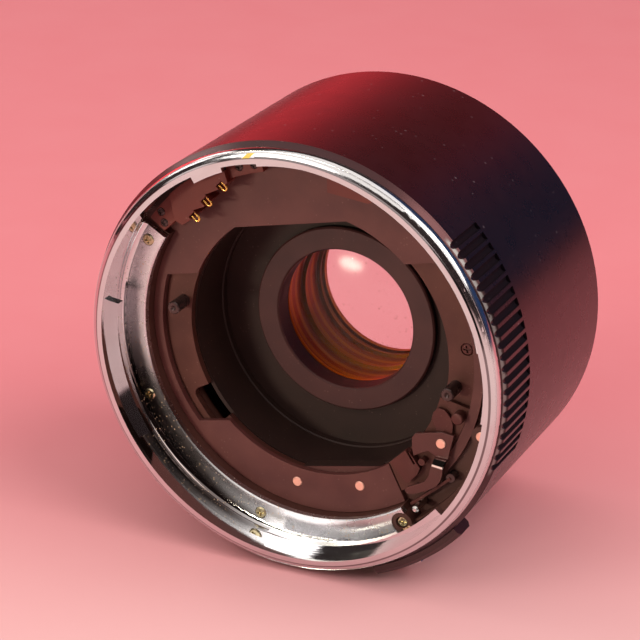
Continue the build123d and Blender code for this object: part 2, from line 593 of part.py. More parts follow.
def drive_ring():
    face = Circle(DRIVE_OUTER_R) - Circle(DRIVE_INNER_R)
    notch = sector_face(DRIVE_INNER_R - OVERRUN, NOTCH_R, *NOTCH_SPAN)
    corners = notch.vertices().group_by(lambda corner: radius_of(tuple(corner)))[-1]
    face -= fillet(corners, NOTCH_CORNER)
    body = lifted(face, DRIVE_DEPTH, DRIVE_END_DEPTH)
    for angle in POST_ANGLES:
        body -= pin(polar(POST_CIRCLE_R, angle), POST_SHANK_R + SEAT_GAP, DRIVE_DEPTH - OVERRUN,
                    DRIVE_END_DEPTH + OVERRUN)
    point = polar(DRIVE_SCREW_R, DRIVE_SCREW_ANGLE)
    flush = DRIVE_DEPTH + SCREW_HEAD_PROUD
    return body - screw_seat(point, flush, DRIVE_THICKNESS)


def drive_posts():
    posts = []
    for angle in POST_ANGLES:
        point = polar(POST_CIRCLE_R, angle)
        post = pin(point, POST_R, POST_TOP_DEPTH, DRIVE_DEPTH)
        post = chamfer(post.edges().group_by(Axis.Z)[-1], POST_EDGE)
        dimple = Cone(0, POST_DIMPLE_R, POST_DIMPLE_DEPTH, align=(Align.CENTER, Align.CENTER, Align.MAX))
        post -= Pos(*point, z_of(POST_TOP_DEPTH)) * dimple
        posts.append(post + pin(point, POST_SHANK_R, DRIVE_DEPTH, DRIVE_END_DEPTH))
    return posts


def drive_ring_screw():
    point = polar(DRIVE_SCREW_R, DRIVE_SCREW_ANGLE)
    length = DRIVE_THICKNESS - SCREW_HEAD_PROUD
    return cross_screw(point, DRIVE_DEPTH + SCREW_HEAD_PROUD, SCREW_HEAD_R, SCREW_SHANK_R, length)


def transfer_bars():
    half = BAR_WIDTH_ANGLE / 2
    return [wedge(BAR_INNER_R, BAR_OUTER_R, angle - half, angle + half, DRIVE_END_DEPTH, REAR_DRIVE_DEPTH)
            for angle in BAR_ANGLES]


def rear_drive_ring():
    body = ring(DRIVE_INNER_R, DRIVE_OUTER_R, REAR_DRIVE_DEPTH, REAR_DRIVE_END_DEPTH)
    half = FORK_WIDTH_ANGLE / 2
    fork_end = REAR_DRIVE_END_DEPTH + FORK_HEIGHT
    for angle in POST_ANGLES:
        fork = wedge(FORK_INNER_R, FORK_OUTER_R, angle - half, angle + half, REAR_DRIVE_END_DEPTH, fork_end)
        gap = Pos(0, BARREL_R / 2) * Rectangle(FORK_GAP, BARREL_R)
        cut = lifted(gap, REAR_DRIVE_END_DEPTH, fork_end + OVERRUN)
        body += fork - Rot(0, 0, -angle) * cut
    return body


def base_face():
    end_angle = degrees(asin(PLATE_END_BOTTOM[0] / radius_of(PLATE_END_BOTTOM)))
    arc_end = 180 - end_angle + SLOT_CLEAR_ANGLE
    face = sector_face(BASE_INNER_R, WINDOW_R - RUNNING_GAP, BASE_START_ANGLE, arc_end + SLOT_CLEAR_ANGLE)
    face += sector_face(BASE_INNER_R, PLATE_OUTER_R, BASE_FOOT_START, BASE_FOOT_END)
    shift = RUNNING_GAP
    side = make_face(Polyline([(x + shift, y) for x, y in plate_end_side()], close=True))
    return face & side


def mechanism_base():
    base = lifted(base_face(), BASE_DEPTH, PLATE_POCKET_DEPTH)
    base += pin(PIVOT_POINT, PIVOT_R, LEVER_DEPTH, BASE_DEPTH)
    lock = polar(LOCK_PIN_CIRCLE_R, LOCK_PIN_ANGLE)
    return base - pin(lock, LOCK_PIN_R + AXIAL_GAP, BASE_DEPTH - OVERRUN, PLATE_POCKET_DEPTH + OVERRUN)


def stop_pin():
    body = pin(STOP_PIN_POINT, STOP_PIN_R, BASE_DEPTH - STOP_PIN_HEIGHT, BASE_DEPTH)
    return chamfer(body.edges().group_by(Axis.Z)[-1], POST_EDGE)


def lock_pawl():
    body = slab(PAWL_OUTLINE, PAWL_DEPTH, PAWL_DEPTH + PAWL_THICKNESS)
    return body - pin(PIVOT_POINT, PIVOT_R + SEAT_GAP, PAWL_DEPTH - OVERRUN, BASE_DEPTH)


def hook_lever():
    lever_end = LEVER_DEPTH + LEVER_THICKNESS
    body = slab(LEVER_OUTLINE, LEVER_DEPTH, lever_end)
    body += slab(RISER_OUTLINE, HOOK_DEPTH, lever_end)
    body += slab(HOOK_OUTLINE, HOOK_DEPTH, HOOK_DEPTH + LEVER_THICKNESS)
    return body - pin(PIVOT_POINT, PIVOT_R + SEAT_GAP, HOOK_DEPTH - OVERRUN, BASE_DEPTH)


def lever_rivet():
    head = pin(PIVOT_POINT, RIVET_R, LEVER_DEPTH - RIVET_HEIGHT, LEVER_DEPTH)
    return chamfer(head.edges().group_by(Axis.Z)[-1], RIVET_HEIGHT / 2)


def guide_block():
    body = slab(BLOCK_OUTLINE, BLOCK_TOP_DEPTH, BASE_DEPTH)
    slit = trace(Line(*BLOCK_SLIT), BLOCK_SLIT_WIDTH)
    return body - lifted(slit, BLOCK_TOP_DEPTH - OVERRUN, BLOCK_TOP_DEPTH + BLOCK_SLIT_DEPTH)


def small_stop_pin():
    return pin(SMALL_PIN_POINT, SMALL_PIN_R, BASE_DEPTH - SMALL_PIN_HEIGHT, BASE_DEPTH)


def lever_spring():
    path = ThreePointArc(SPRING_START, SPRING_MIDDLE, SPRING_END)
    bottom = PLATE_POCKET_DEPTH - SPRING_LIFT
    return lifted(trace(path, SPRING_WIDTH), bottom - SPRING_HEIGHT, bottom)


def spring_post():
    return pin(SPRING_START, SPRING_POST_R, PLATE_POCKET_DEPTH - SPRING_POST_HEIGHT,
               PLATE_POCKET_DEPTH) - lever_spring()


def release_slider():
    start, end = SLIDER_SPAN
    edge = SLIDER_BEVEL
    rear = SLIDER_DEPTH + SLIDER_WIDTH
    body = turned([
        (SLIDER_R, SLIDER_DEPTH), (SLIDER_TOP_R - edge, SLIDER_DEPTH), (SLIDER_TOP_R, SLIDER_DEPTH + edge),
        (SLIDER_TOP_R, rear - edge), (SLIDER_TOP_R - edge, rear), (SLIDER_R, rear)])
    body &= wedge(SHELL_INNER_R, SLIDER_TOP_R + OVERRUN, start, end, SLIDER_DEPTH - OVERRUN, rear + OVERRUN)
    tongue_end = SHANK_DEPTH + SHANK_WIDTH
    body += wedge(SLIDER_R, SLIDER_TOP_R - edge, *TONGUE_SPAN, rear - edge, tongue_end)
    return body + wedge(SHANK_INNER_R, SLIDER_TOP_R - edge, *SHANK_SPAN, SHANK_DEPTH, tongue_end)


def slider_pad():
    start, end = PAD_SPAN
    front = SLIDER_DEPTH + SLIDER_WIDTH
    foot_r = SLIDER_TOP_R - SLIDER_BEVEL
    body = wedge(foot_r, foot_r + PAD_HEIGHT, start, end, front, front + PAD_WIDTH)
    pitch = (end - start) / PAD_RIB_COUNT
    top_r = foot_r + PAD_HEIGHT
    for number in range(1, PAD_RIB_COUNT):
        body -= pin(polar(top_r, start + number * pitch), PAD_RIB_R, front - OVERRUN,
                    front + PAD_WIDTH + OVERRUN)
    return body


def lens_lock_pin():
    point = polar(LOCK_PIN_CIRCLE_R, LOCK_PIN_ANGLE)
    body = pin(point, LOCK_PIN_R, LOCK_PIN_DEPTH, LOCK_PIN_DEPTH + LOCK_PIN_LENGTH)
    return chamfer(body.edges().group_by(Axis.Z)[-1], LOCK_PIN_R / 2)


def lens_surface(vertex, curvature, radius):
    """Depth of a lens surface at a radius."""
    sag = abs(curvature) - sqrt(curvature ** 2 - radius ** 2)
    return vertex + (sag if curvature > 0 else -sag)


def lens_element(front, thickness, front_curve, rear_curve):
    rear = front + thickness
    half = GLASS_R / 2
    front_gap = CEMENT_GAP
    top = [(0, z_of(front + front_gap)),
           (half, z_of(lens_surface(front, front_curve, half) + front_gap)),
           (GLASS_R, z_of(lens_surface(front, front_curve, GLASS_R) + front_gap))]
    low = [(GLASS_R, z_of(lens_surface(rear, rear_curve, GLASS_R))),
           (half, z_of(lens_surface(rear, rear_curve, half))),
           (0, z_of(rear))]
    outline = [ThreePointArc(*top), Line(top[2], low[0]), ThreePointArc(*low), Line(low[2], top[0])]
    return revolve(Plane.XZ * make_face(outline), Axis.Z)


def lens_spacer(before, after):
    front, thickness, _, rear_curve = ELEMENTS[before]
    next_front, _, front_curve, _ = ELEMENTS[after]
    rear = front + thickness
    start = max(lens_surface(rear, rear_curve, radius) for radius in (SPACER_R, GLASS_R))
    end = min(lens_surface(next_front, front_curve, radius) for radius in (SPACER_R, GLASS_R))
    return ring(SPACER_R, GLASS_R, start + CEMENT_GAP, end)


def lens_bezel():
    rear = BEZEL_DEPTH + BEZEL_THICKNESS
    front, _, front_curve, _ = ELEMENTS["lens_element_1"]
    glass_edge = lens_surface(front, front_curve, BEZEL_HOLE_R)
    return turned([
        (BEZEL_HOLE_R, BEZEL_DEPTH + BEZEL_BEVEL), (BEZEL_HOLE_R + BEZEL_BEVEL, BEZEL_DEPTH),
        (BEZEL_R - BEZEL_BEVEL, BEZEL_DEPTH), (BEZEL_R, BEZEL_DEPTH + BEZEL_BEVEL), (BEZEL_R, rear),
        (GLASS_R, rear), (GLASS_R, glass_edge - CEMENT_GAP), (BEZEL_HOLE_R, glass_edge - CEMENT_GAP)])


def lens_cell():
    front = BEZEL_DEPTH + BEZEL_THICKNESS
    lip = CELL_END_DEPTH - CELL_LIP
    return turned([
        (CELL_BORE_R, front), (CELL_R, front), (CELL_R, CELL_END_DEPTH), (CELL_LIP_R, CELL_END_DEPTH),
        (CELL_LIP_R, lip), (CELL_BORE_R, lip)])


def cell_lock_ring():
    return ring(CELL_R + SEAT_GAP, LOCK_RING_R, REAR_WEB_END_DEPTH, REAR_WEB_END_DEPTH + LOCK_RING_THICKNESS)


def edge_tilt():
    rise = CONTACT_EDGE_END[1] - CONTACT_EDGE_START[1]
    return degrees(asin(rise / hypot(CONTACT_EDGE_END[0] - CONTACT_EDGE_START[0], rise)))


def contact_block():
    right = polar(BARREL_R, BLOCK_RIGHT_OUTER_ANGLE)
    face = make_face(Polyline(
        [BLOCK_LEFT_OUTER, (BLOCK_LEFT_OUTER[0], BARREL_R), right, CONTACT_EDGE_END, CONTACT_EDGE_START,
         BLOCK_LEFT_TOE, BLOCK_LEFT_STEP, BLOCK_LEFT_INNER], close=True)) & Circle(BLOCK_EDGE_R)
    body = lifted(face, BLOCK_FRONT_DEPTH, RING_END_DEPTH)
    for point in CONTACT_POINTS:
        seat = Pos(*point) * Rot(0, 0, edge_tilt()) * Rectangle(CONTACT_SEAT_WIDTH, CONTACT_SEAT_LENGTH * 2)
        body -= lifted(seat, BLOCK_FRONT_DEPTH - OVERRUN, CONTACT_LEVEL + CONTACT_WIRE_R * 2)
    for before, after in zip(CONTACT_POINTS, CONTACT_POINTS[1:]):
        run = radius_of((after[0] - before[0], after[1] - before[1]))
        start, end = BLOCK_STEP_INSET, run - BLOCK_STEP_INSET
        step = Polyline([(start, -OVERRUN), (start, BLOCK_STEP_DEPTH), (end, BLOCK_STEP_END_DEPTH),
                         (end, -OVERRUN)], close=True)
        gap = Pos(*before) * Rot(0, 0, edge_tilt()) * make_face(step)
        body -= lifted(gap, BLOCK_FRONT_DEPTH - OVERRUN, RING_END_DEPTH + OVERRUN)
    tab_front = BLOCK_FRONT_DEPTH + TAB_DROP
    body += wedge(TAB_R, BLOCK_EDGE_R, *TAB_SPAN, tab_front, RING_END_DEPTH)
    left_tab = make_face(Polyline(
        [BLOCK_LEFT_INNER, BLOCK_LEFT_STEP, (BLOCK_LEFT_STEP[0], BARREL_R), (-BARREL_R, BARREL_R),
         (-BARREL_R, BLOCK_LEFT_INNER[1])], close=True)) & Circle(BARREL_R)
    body -= lifted(left_tab, BLOCK_FRONT_DEPTH - OVERRUN, tab_front)
    for point in BLOCK_SCREWS:
        body -= pin(point, BLOCK_SCREW_R + SEAT_GAP, tab_front - OVERRUN, RING_END_DEPTH)
    return body


def contact_block_screws():
    seat = BLOCK_FRONT_DEPTH + TAB_DROP
    shank = BLOCK_SCREW_R - SCREW_HEAD_PROUD
    return [cross_screw(point, seat, BLOCK_SCREW_R, shank, RING_END_DEPTH - seat)
            for point in BLOCK_SCREWS]


def contact_springs():
    """Gold wire springs, each bent to a U that sticks out of the block's inner edge."""
    springs = []
    half = CONTACT_HALF_WIDTH
    for point in CONTACT_POINTS:
        legs = [Line((-half, CONTACT_LEG), (-half, 0)),
                ThreePointArc((-half, 0), (0, -half), (half, 0)),
                Line((half, 0), (half, CONTACT_LEG))]
        path = Pos(*point, z_of(CONTACT_LEVEL)) * Rot(0, 0, edge_tilt()) * Wire(legs)
        section = Plane(origin=path @ 0, z_dir=path % 0) * Circle(CONTACT_WIRE_R)
        springs.append(sweep(section, path=path))
    return springs


def side_contact_block():
    outer_end = polar(BARREL_R, SIDE_BLOCK_END_ANGLE)
    outer_start = polar(BARREL_R, SIDE_BLOCK_START_ANGLE)
    outline = [SIDE_BLOCK_OUTLINE[0], SIDE_BLOCK_OUTLINE[1], SIDE_BLOCK_OUTLINE[2], outer_end, outer_start]
    face = make_face(Polyline(outline, close=True)) & Circle(BLOCK_EDGE_R)
    return lifted(face, BLOCK_FRONT_DEPTH, RING_END_DEPTH)


def side_contacts():
    middle = BLOCK_FRONT_DEPTH + SIDE_CONTACT_LENGTH
    contacts = [pin(point, SIDE_CONTACT_R, middle, middle + SIDE_CONTACT_LENGTH) for point in SIDE_CONTACTS]
    return [contact - side_contact_block() for contact in contacts]


def circuit_strip():
    rear = COVER_DEPTH
    strip = wedge(CIRCUIT_R - CIRCUIT_THICKNESS, CIRCUIT_R, *CIRCUIT_SPAN, PLATE_POCKET_DEPTH, rear)
    leg_start = rear - CIRCUIT_THICKNESS
    return strip + wedge(CIRCUIT_LEG_R, CIRCUIT_R, *CIRCUIT_SPAN, leg_start, rear)


def rear_bayonet():
    seat = FLANGE_LENGTH
    register_r = MOUTH_R - REGISTER_CLEARANCE
    neck_r = LIP_R - NECK_CLEARANCE
    register_end = seat + REGISTER_LENGTH
    tab_start = seat + TAB_START
    tab_end = tab_start + TAB_THICKNESS
    edge = REAR_FLANGE_BEVEL
    body = turned([
        (REAR_LEDGE_R, BARREL_REAR_DEPTH), (REAR_FLANGE_R - edge, BARREL_REAR_DEPTH),
        (REAR_FLANGE_R, BARREL_REAR_DEPTH + edge), (REAR_FLANGE_R, seat - edge),
        (REAR_FLANGE_R - edge, seat), (register_r, seat), (register_r, register_end),
        (neck_r, register_end), (neck_r, tab_end - edge), (neck_r - edge, tab_end), (REAR_TUBE_R, tab_end),
        (REAR_TUBE_R, seat + REAR_LEDGE_HEIGHT), (REAR_LEDGE_R, seat + REAR_LEDGE_HEIGHT)])
    for centre, width in REAR_TABS:
        half = width / 2
        body += wedge(REAR_TUBE_R + SEAT_GAP, MOUTH_R - TAB_CLEARANCE, centre - half, centre + half,
                      tab_start, tab_end)
    for angle in REAR_SCREW_ANGLES:
        point = polar(REAR_SCREW_R, angle)
        head = seat + REAR_LEDGE_HEIGHT
        body -= pin(point, SCREW_SHANK_R + SEAT_GAP, BARREL_REAR_DEPTH - OVERRUN, head + OVERRUN)
        body -= pin(point, SCREW_HEAD_R + SEAT_GAP, head - SCREW_HEAD_HEIGHT, head + OVERRUN)
    return body


def rear_bayonet_screws():
    screws = []
    head = FLANGE_LENGTH + REAR_LEDGE_HEIGHT
    for angle in REAR_SCREW_ANGLES:
        point = polar(REAR_SCREW_R, angle)
        screw = pin(point, SCREW_HEAD_R, head - SCREW_HEAD_HEIGHT, head)
        screw += pin(point, SCREW_SHANK_R, BARREL_REAR_DEPTH - SCREW_LENGTH + SEAT_GAP, head)
        span = SCREW_HEAD_R * CROSS_SPAN_SHARE
        slot = Rectangle(span + span, CROSS_WIDTH) + Rectangle(CROSS_WIDTH, span + span)
        screws.append(screw - lifted(Pos(*point) * slot, head - CROSS_DEPTH, head + OVERRUN))
    return screws


def rear_cover():
    cover = ring(REAR_HOLE_R, COVER_R, COVER_DEPTH, BARREL_REAR_DEPTH)
    for slot in drive_slots(FORK_INNER_R, FORK_OUTER_R, FORK_WIDTH_ANGLE, POST_ANGLES,
                            COVER_DEPTH, BARREL_REAR_DEPTH):
        cover -= slot
    return cover


def rear_contact_blocks():
    blocks = []
    for (start, end), pins in REAR_BLOCKS:
        block = wedge(REAR_BLOCK_INNER_R, REAR_BLOCK_OUTER_R, start, end, BARREL_REAR_DEPTH, REAR_BLOCK_DEPTH)
        for angle in pins:
            block -= pin(rear_pin_point(angle), CONTACT_PIN_R + SEAT_GAP,
                         REAR_BLOCK_DEPTH + CONTACT_PIN_PROUD - CONTACT_PIN_LENGTH - CONTACT_PIN_TRAVEL,
                         REAR_BLOCK_DEPTH + OVERRUN)
        blocks.append(block)
    return blocks


def rear_pin_point(angle):
    return polar((REAR_BLOCK_INNER_R + REAR_BLOCK_OUTER_R) / 2, angle)


def rear_contact_pin(angle):
    end = REAR_BLOCK_DEPTH + CONTACT_PIN_PROUD
    body = pin(rear_pin_point(angle), CONTACT_PIN_R, end - CONTACT_PIN_LENGTH, end)
    return fillet(body.edges().group_by(Axis.Z)[0], CONTACT_PIN_R * RIVET_SHANK_SHARE)


def laid_down(shape):
    return Rot(90, 0, 0) * Rot(0, 0, REST_ROLL) * shape


def nodes():
    parts = {
        "barrel_shell": barrel_shell() - alignment_bead(),
        "alignment_bead": alignment_bead(),
        "front_bayonet_ring": front_bayonet_ring(),
        "index_dot": index_dot(),
        "bayonet_screws": bayonet_screws(),
        "main_frame": main_frame(),
        "front_plate": front_plate(),
        "plate_rivets": plate_rivets(),
        "light_baffle": light_baffle(),
        "drive_ring": drive_ring(),
        "drive_posts": drive_posts(),
        "drive_ring_screw": drive_ring_screw(),
        "transfer_bars": transfer_bars(),
        "rear_drive_ring": rear_drive_ring(),
        "mechanism_base": mechanism_base(),
        "stop_pin": stop_pin(),
        "lock_pawl": lock_pawl(),
        "hook_lever": hook_lever(),
        "lever_rivet": lever_rivet(),
        "guide_block": guide_block(),
        "small_stop_pin": small_stop_pin(),
        "lever_spring": lever_spring(),
        "spring_post": spring_post(),
        "release_slider": release_slider(),
        "slider_pad": slider_pad(),
        "lens_lock_pin": lens_lock_pin(),
        "lens_bezel": lens_bezel(),
        "lens_cell": lens_cell(),
        "cell_lock_ring": cell_lock_ring(),
        "contact_block": contact_block(),
        "contact_block_screws": contact_block_screws(),
        "contact_springs": contact_springs(),
        "side_contact_block": side_contact_block(),
        "side_contacts": side_contacts(),
        "circuit_strip": circuit_strip(),
        "rear_bayonet": rear_bayonet(),
        "rear_bayonet_screws": rear_bayonet_screws(),
        "rear_cover": rear_cover(),
        "rear_contact_blocks": rear_contact_blocks(),
    }
    for name, values in ELEMENTS.items():
        parts[name] = lens_element(*values)
    for number, (before, after) in enumerate(SPACED_PAIRS, start=1):
        parts[f"lens_spacer_{number}"] = lens_spacer(before, after)
    number = 0
    for _, pins in REAR_BLOCKS:
        for angle in pins:
            number += 1
            parts[f"rear_contact_pin_{number}"] = rear_contact_pin(angle)
    return parts


os.makedirs("parts", exist_ok=True)
for name, part in nodes().items():
    solids = part if isinstance(part, list) else part.solids()
    pieces = [solid for piece in solids for solid in laid_down(piece).solids()]
    shape = pieces[0] if len(pieces) == 1 else Compound(children=pieces)
    export_step(shape, f"parts/{name}.step")
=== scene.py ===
import bpy
import json
from math import cos, radians, sin, tau
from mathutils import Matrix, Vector


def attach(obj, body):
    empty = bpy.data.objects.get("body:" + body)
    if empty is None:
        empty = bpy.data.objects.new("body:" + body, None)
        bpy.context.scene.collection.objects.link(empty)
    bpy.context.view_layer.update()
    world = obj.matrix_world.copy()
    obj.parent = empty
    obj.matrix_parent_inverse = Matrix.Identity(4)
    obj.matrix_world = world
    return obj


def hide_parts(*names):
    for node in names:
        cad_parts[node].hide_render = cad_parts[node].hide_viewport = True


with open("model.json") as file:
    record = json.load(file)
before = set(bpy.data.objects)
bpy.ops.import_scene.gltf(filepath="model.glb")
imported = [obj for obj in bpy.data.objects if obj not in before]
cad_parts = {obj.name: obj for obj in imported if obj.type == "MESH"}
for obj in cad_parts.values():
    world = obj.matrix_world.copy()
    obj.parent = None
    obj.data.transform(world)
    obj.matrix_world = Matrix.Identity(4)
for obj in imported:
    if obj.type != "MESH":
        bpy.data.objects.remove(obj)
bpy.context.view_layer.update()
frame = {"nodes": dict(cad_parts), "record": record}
scene = bpy.context.scene
NODES = frame["nodes"]
RECORD = frame["record"]
BODY_OF = {node: body for body, members in RECORD["behaviour"]["bodies"].items()
           for node in members}

# Sizes are in millimetres, and a depth is measured back from the front seat.
MM = 0.001
BARREL_R = 43.5
SEAT_DISTANCE = 53.2
FLOOR_DROP = 43.6

# The object lies turned about its axis, and the arm of its hook lever leans. The dot product of a
# place with one of these directions is the distance along it in millimetres.
ROLL = radians(12.0)
HOOK_LEAN = radians(6.44)
ASIDE = (cos(ROLL) / MM, 0.0, sin(ROLL) / MM)
HOOK_UP = (sin(HOOK_LEAN) / MM, 0.0, cos(HOOK_LEAN) / MM)
HOOK_SIDE = (cos(HOOK_LEAN) / MM, 0.0, -sin(HOOK_LEAN) / MM)
LOW_LEFT = (-0.77 / MM, 0.0, -0.64 / MM)

DUST = "a8897e"
WARM_WHITE = "fff8f2"
# A Mix node of colours has its share at input 0, its colours at 6 and 7 and its result at output 2.
COLOURS = {"out": 2, "data_type": "RGBA"}


def lin(code):
    """Linear RGBA of an sRGB hex colour."""
    parts = [int(code[i:i + 2], 16) / 255 for i in (0, 2, 4)]
    return tuple(part / 12.92 if part <= 0.04045 else ((part + 0.055) / 1.055) ** 2.4
                 for part in parts) + (1.0,)


def per_mm(size):
    """Texture scale whose features are about this many millimetres apart."""
    return 1.0 / (size * MM)


# Materials
def join(tree, value, socket):
    """Links an output to a socket, or sets the socket to a plain value."""
    if isinstance(value, bpy.types.NodeSocket):
        tree.links.new(value, socket)
    else:
        socket.default_value = value


def add(tree, kind, inputs=(), out=0, **settings):
    """Adds one shader node with its settings, values and links, and returns one of its outputs."""
    made = tree.nodes.new("ShaderNode" + kind)
    for key, value in settings.items():
        setattr(made, key, value)
    pairs = inputs.items() if isinstance(inputs, dict) else enumerate(inputs)
    for key, value in pairs:
        join(tree, value, made.inputs[key])
    return made.outputs[out]


def start(name):
    """New material with its tree, its shader and its object coordinates."""
    material = bpy.data.materials.new(name)
    material.use_nodes = True
    tree = material.node_tree
    return material, tree, tree.nodes["Principled BSDF"], add(tree, "TexCoord", out="Object")


def settle(tree, shader, **values):
    """Sets the shader's sockets; an underscore in a name stands for a space."""
    for key, value in values.items():
        join(tree, value, shader.inputs[key.replace("_", " ")])


def round_the_axis(tree, place):
    """Distance from the optical axis and depth behind the front seat, both in millimetres."""
    x, y, z = add(tree, "SeparateXYZ", [place]).node.outputs
    squares = add(tree, "Math", [add(tree, "Math", [x, x], operation="MULTIPLY"),
                                 add(tree, "Math", [z, z], operation="MULTIPLY")], operation="ADD")
    radius = add(tree, "Math", [add(tree, "Math", [squares, 0.5], operation="POWER"), 1.0 / MM],
                 operation="MULTIPLY")
    return radius, add(tree, "Math", [y, 1.0 / MM, SEAT_DISTANCE], operation="MULTIPLY_ADD")


def dust(tree, place, pitch, share, patch=8.0):
    """Sparse grains on a cell pitch in millimetres, more of them in some patches.

    Grains of about 0.05 mm are too fine to show, so they are drawn four times as coarse or more.
    """
    distance = add(tree, "TexVoronoi", {"Vector": place, "Scale": per_mm(pitch)}, out="Distance")
    grain = add(tree, "MapRange", [distance, 0.3, 0.16], interpolation_type="SMOOTHSTEP")
    pick = add(tree, "SeparateColor", [distance.node.outputs["Color"]])
    rare = add(tree, "MapRange", [pick, 1.0 - share, 1.02 - share])
    cloud = add(tree, "TexNoise", {"Vector": place, "Scale": per_mm(patch)})
    area = add(tree, "MapRange", [cloud, 0.4, 0.6])
    return add(tree, "Math", [add(tree, "Math", [grain, rare], operation="MULTIPLY"), area],
               operation="MULTIPLY")


def coated(name, dark, light, rough, grain, bump, metallic=0.0, dusty=0.16, specular=0.5):
    """Dark painted, anodised or moulded surface: two close tones, a fine grain, uneven gloss, dust.

    The grain of such coats is about 0.1 mm, too fine to show, so it is drawn four times as coarse
    or more, at the pitch in millimetres that is given.
    """
    material, tree, shader, place = start(name)
    cloud = add(tree, "TexNoise", {"Vector": place, "Scale": per_mm(7.0), "Detail": 4.0})
    tone = add(tree, "MapRange", [cloud, 0.3, 0.7])
    colour = add(tree, "Mix", {0: tone, 6: lin(dark), 7: lin(light)}, **COLOURS)
    specks = add(tree, "Math", [dust(tree, place, 0.6, 0.16), dusty], operation="MULTIPLY")
    colour = add(tree, "Mix", {0: specks, 6: colour, 7: lin(DUST)}, **COLOURS)
    patches = add(tree, "TexNoise", {"Vector": place, "Scale": per_mm(3.5), "Detail": 3.0})
    gloss = add(tree, "Math", [patches, 0.14, rough - 0.07], operation="MULTIPLY_ADD")
    fine = add(tree, "TexNoise", {"Vector": place, "Scale": per_mm(grain), "Detail": 2.0})
    relief = add(tree, "Bump", {"Height": fine, "Strength": bump, "Distance": 0.03 * MM})
    settle(tree, shader, Base_Color=colour, Roughness=gloss, Normal=relief, Metallic=metallic,
           Specular_IOR_Level=specular)
    return material


def plated(name, tint, worn, rough, stain, dusty=0.0, lines=0.0):
    """Bare or plated metal: faint stains, turned lines about the axis where it has them, dust.

    Turned lines of about 0.1 mm are too fine to show, so they are drawn 0.35 mm apart.
    """
    material, tree, shader, place = start(name)
    radius, depth = round_the_axis(tree, place)
    cloud = add(tree, "TexNoise", {"Vector": place, "Scale": per_mm(6.0), "Detail": 6.0})
    stains = add(tree, "MapRange", [cloud, 0.4, 0.75])
    share = add(tree, "Math", [stains, stain], operation="MULTIPLY")
    colour = add(tree, "Mix", {0: share, 6: lin(tint), 7: lin(worn)}, **COLOURS)
    specks = add(tree, "Math", [dust(tree, place, 0.55, 0.35, 5.0), dusty], operation="MULTIPLY")
    colour = add(tree, "Mix", {0: specks, 6: colour, 7: lin("d9bfa8")}, **COLOURS)
    gloss = add(tree, "Math", [share, 0.35, rough], operation="MULTIPLY_ADD")
    gloss = add(tree, "Math", [specks, 0.6, gloss], operation="MULTIPLY_ADD")
    along = add(tree, "CombineXYZ", [add(tree, "Math", [radius, depth], operation="ADD")])
    ridges = add(tree, "TexNoise", {"Vector": along, "Scale": 1.0 / 0.35, "Detail": 2.0})
    height = add(tree, "Math", [ridges, lines, specks], operation="MULTIPLY_ADD")
    relief = add(tree, "Bump", {"Height": height, "Strength": 0.3, "Distance": 0.02 * MM})
    settle(tree, shader, Base_Color=colour, Roughness=gloss, Normal=relief,
           Metallic=add(tree, "Math", [1.0, specks], operation="SUBTRACT"))
    return material


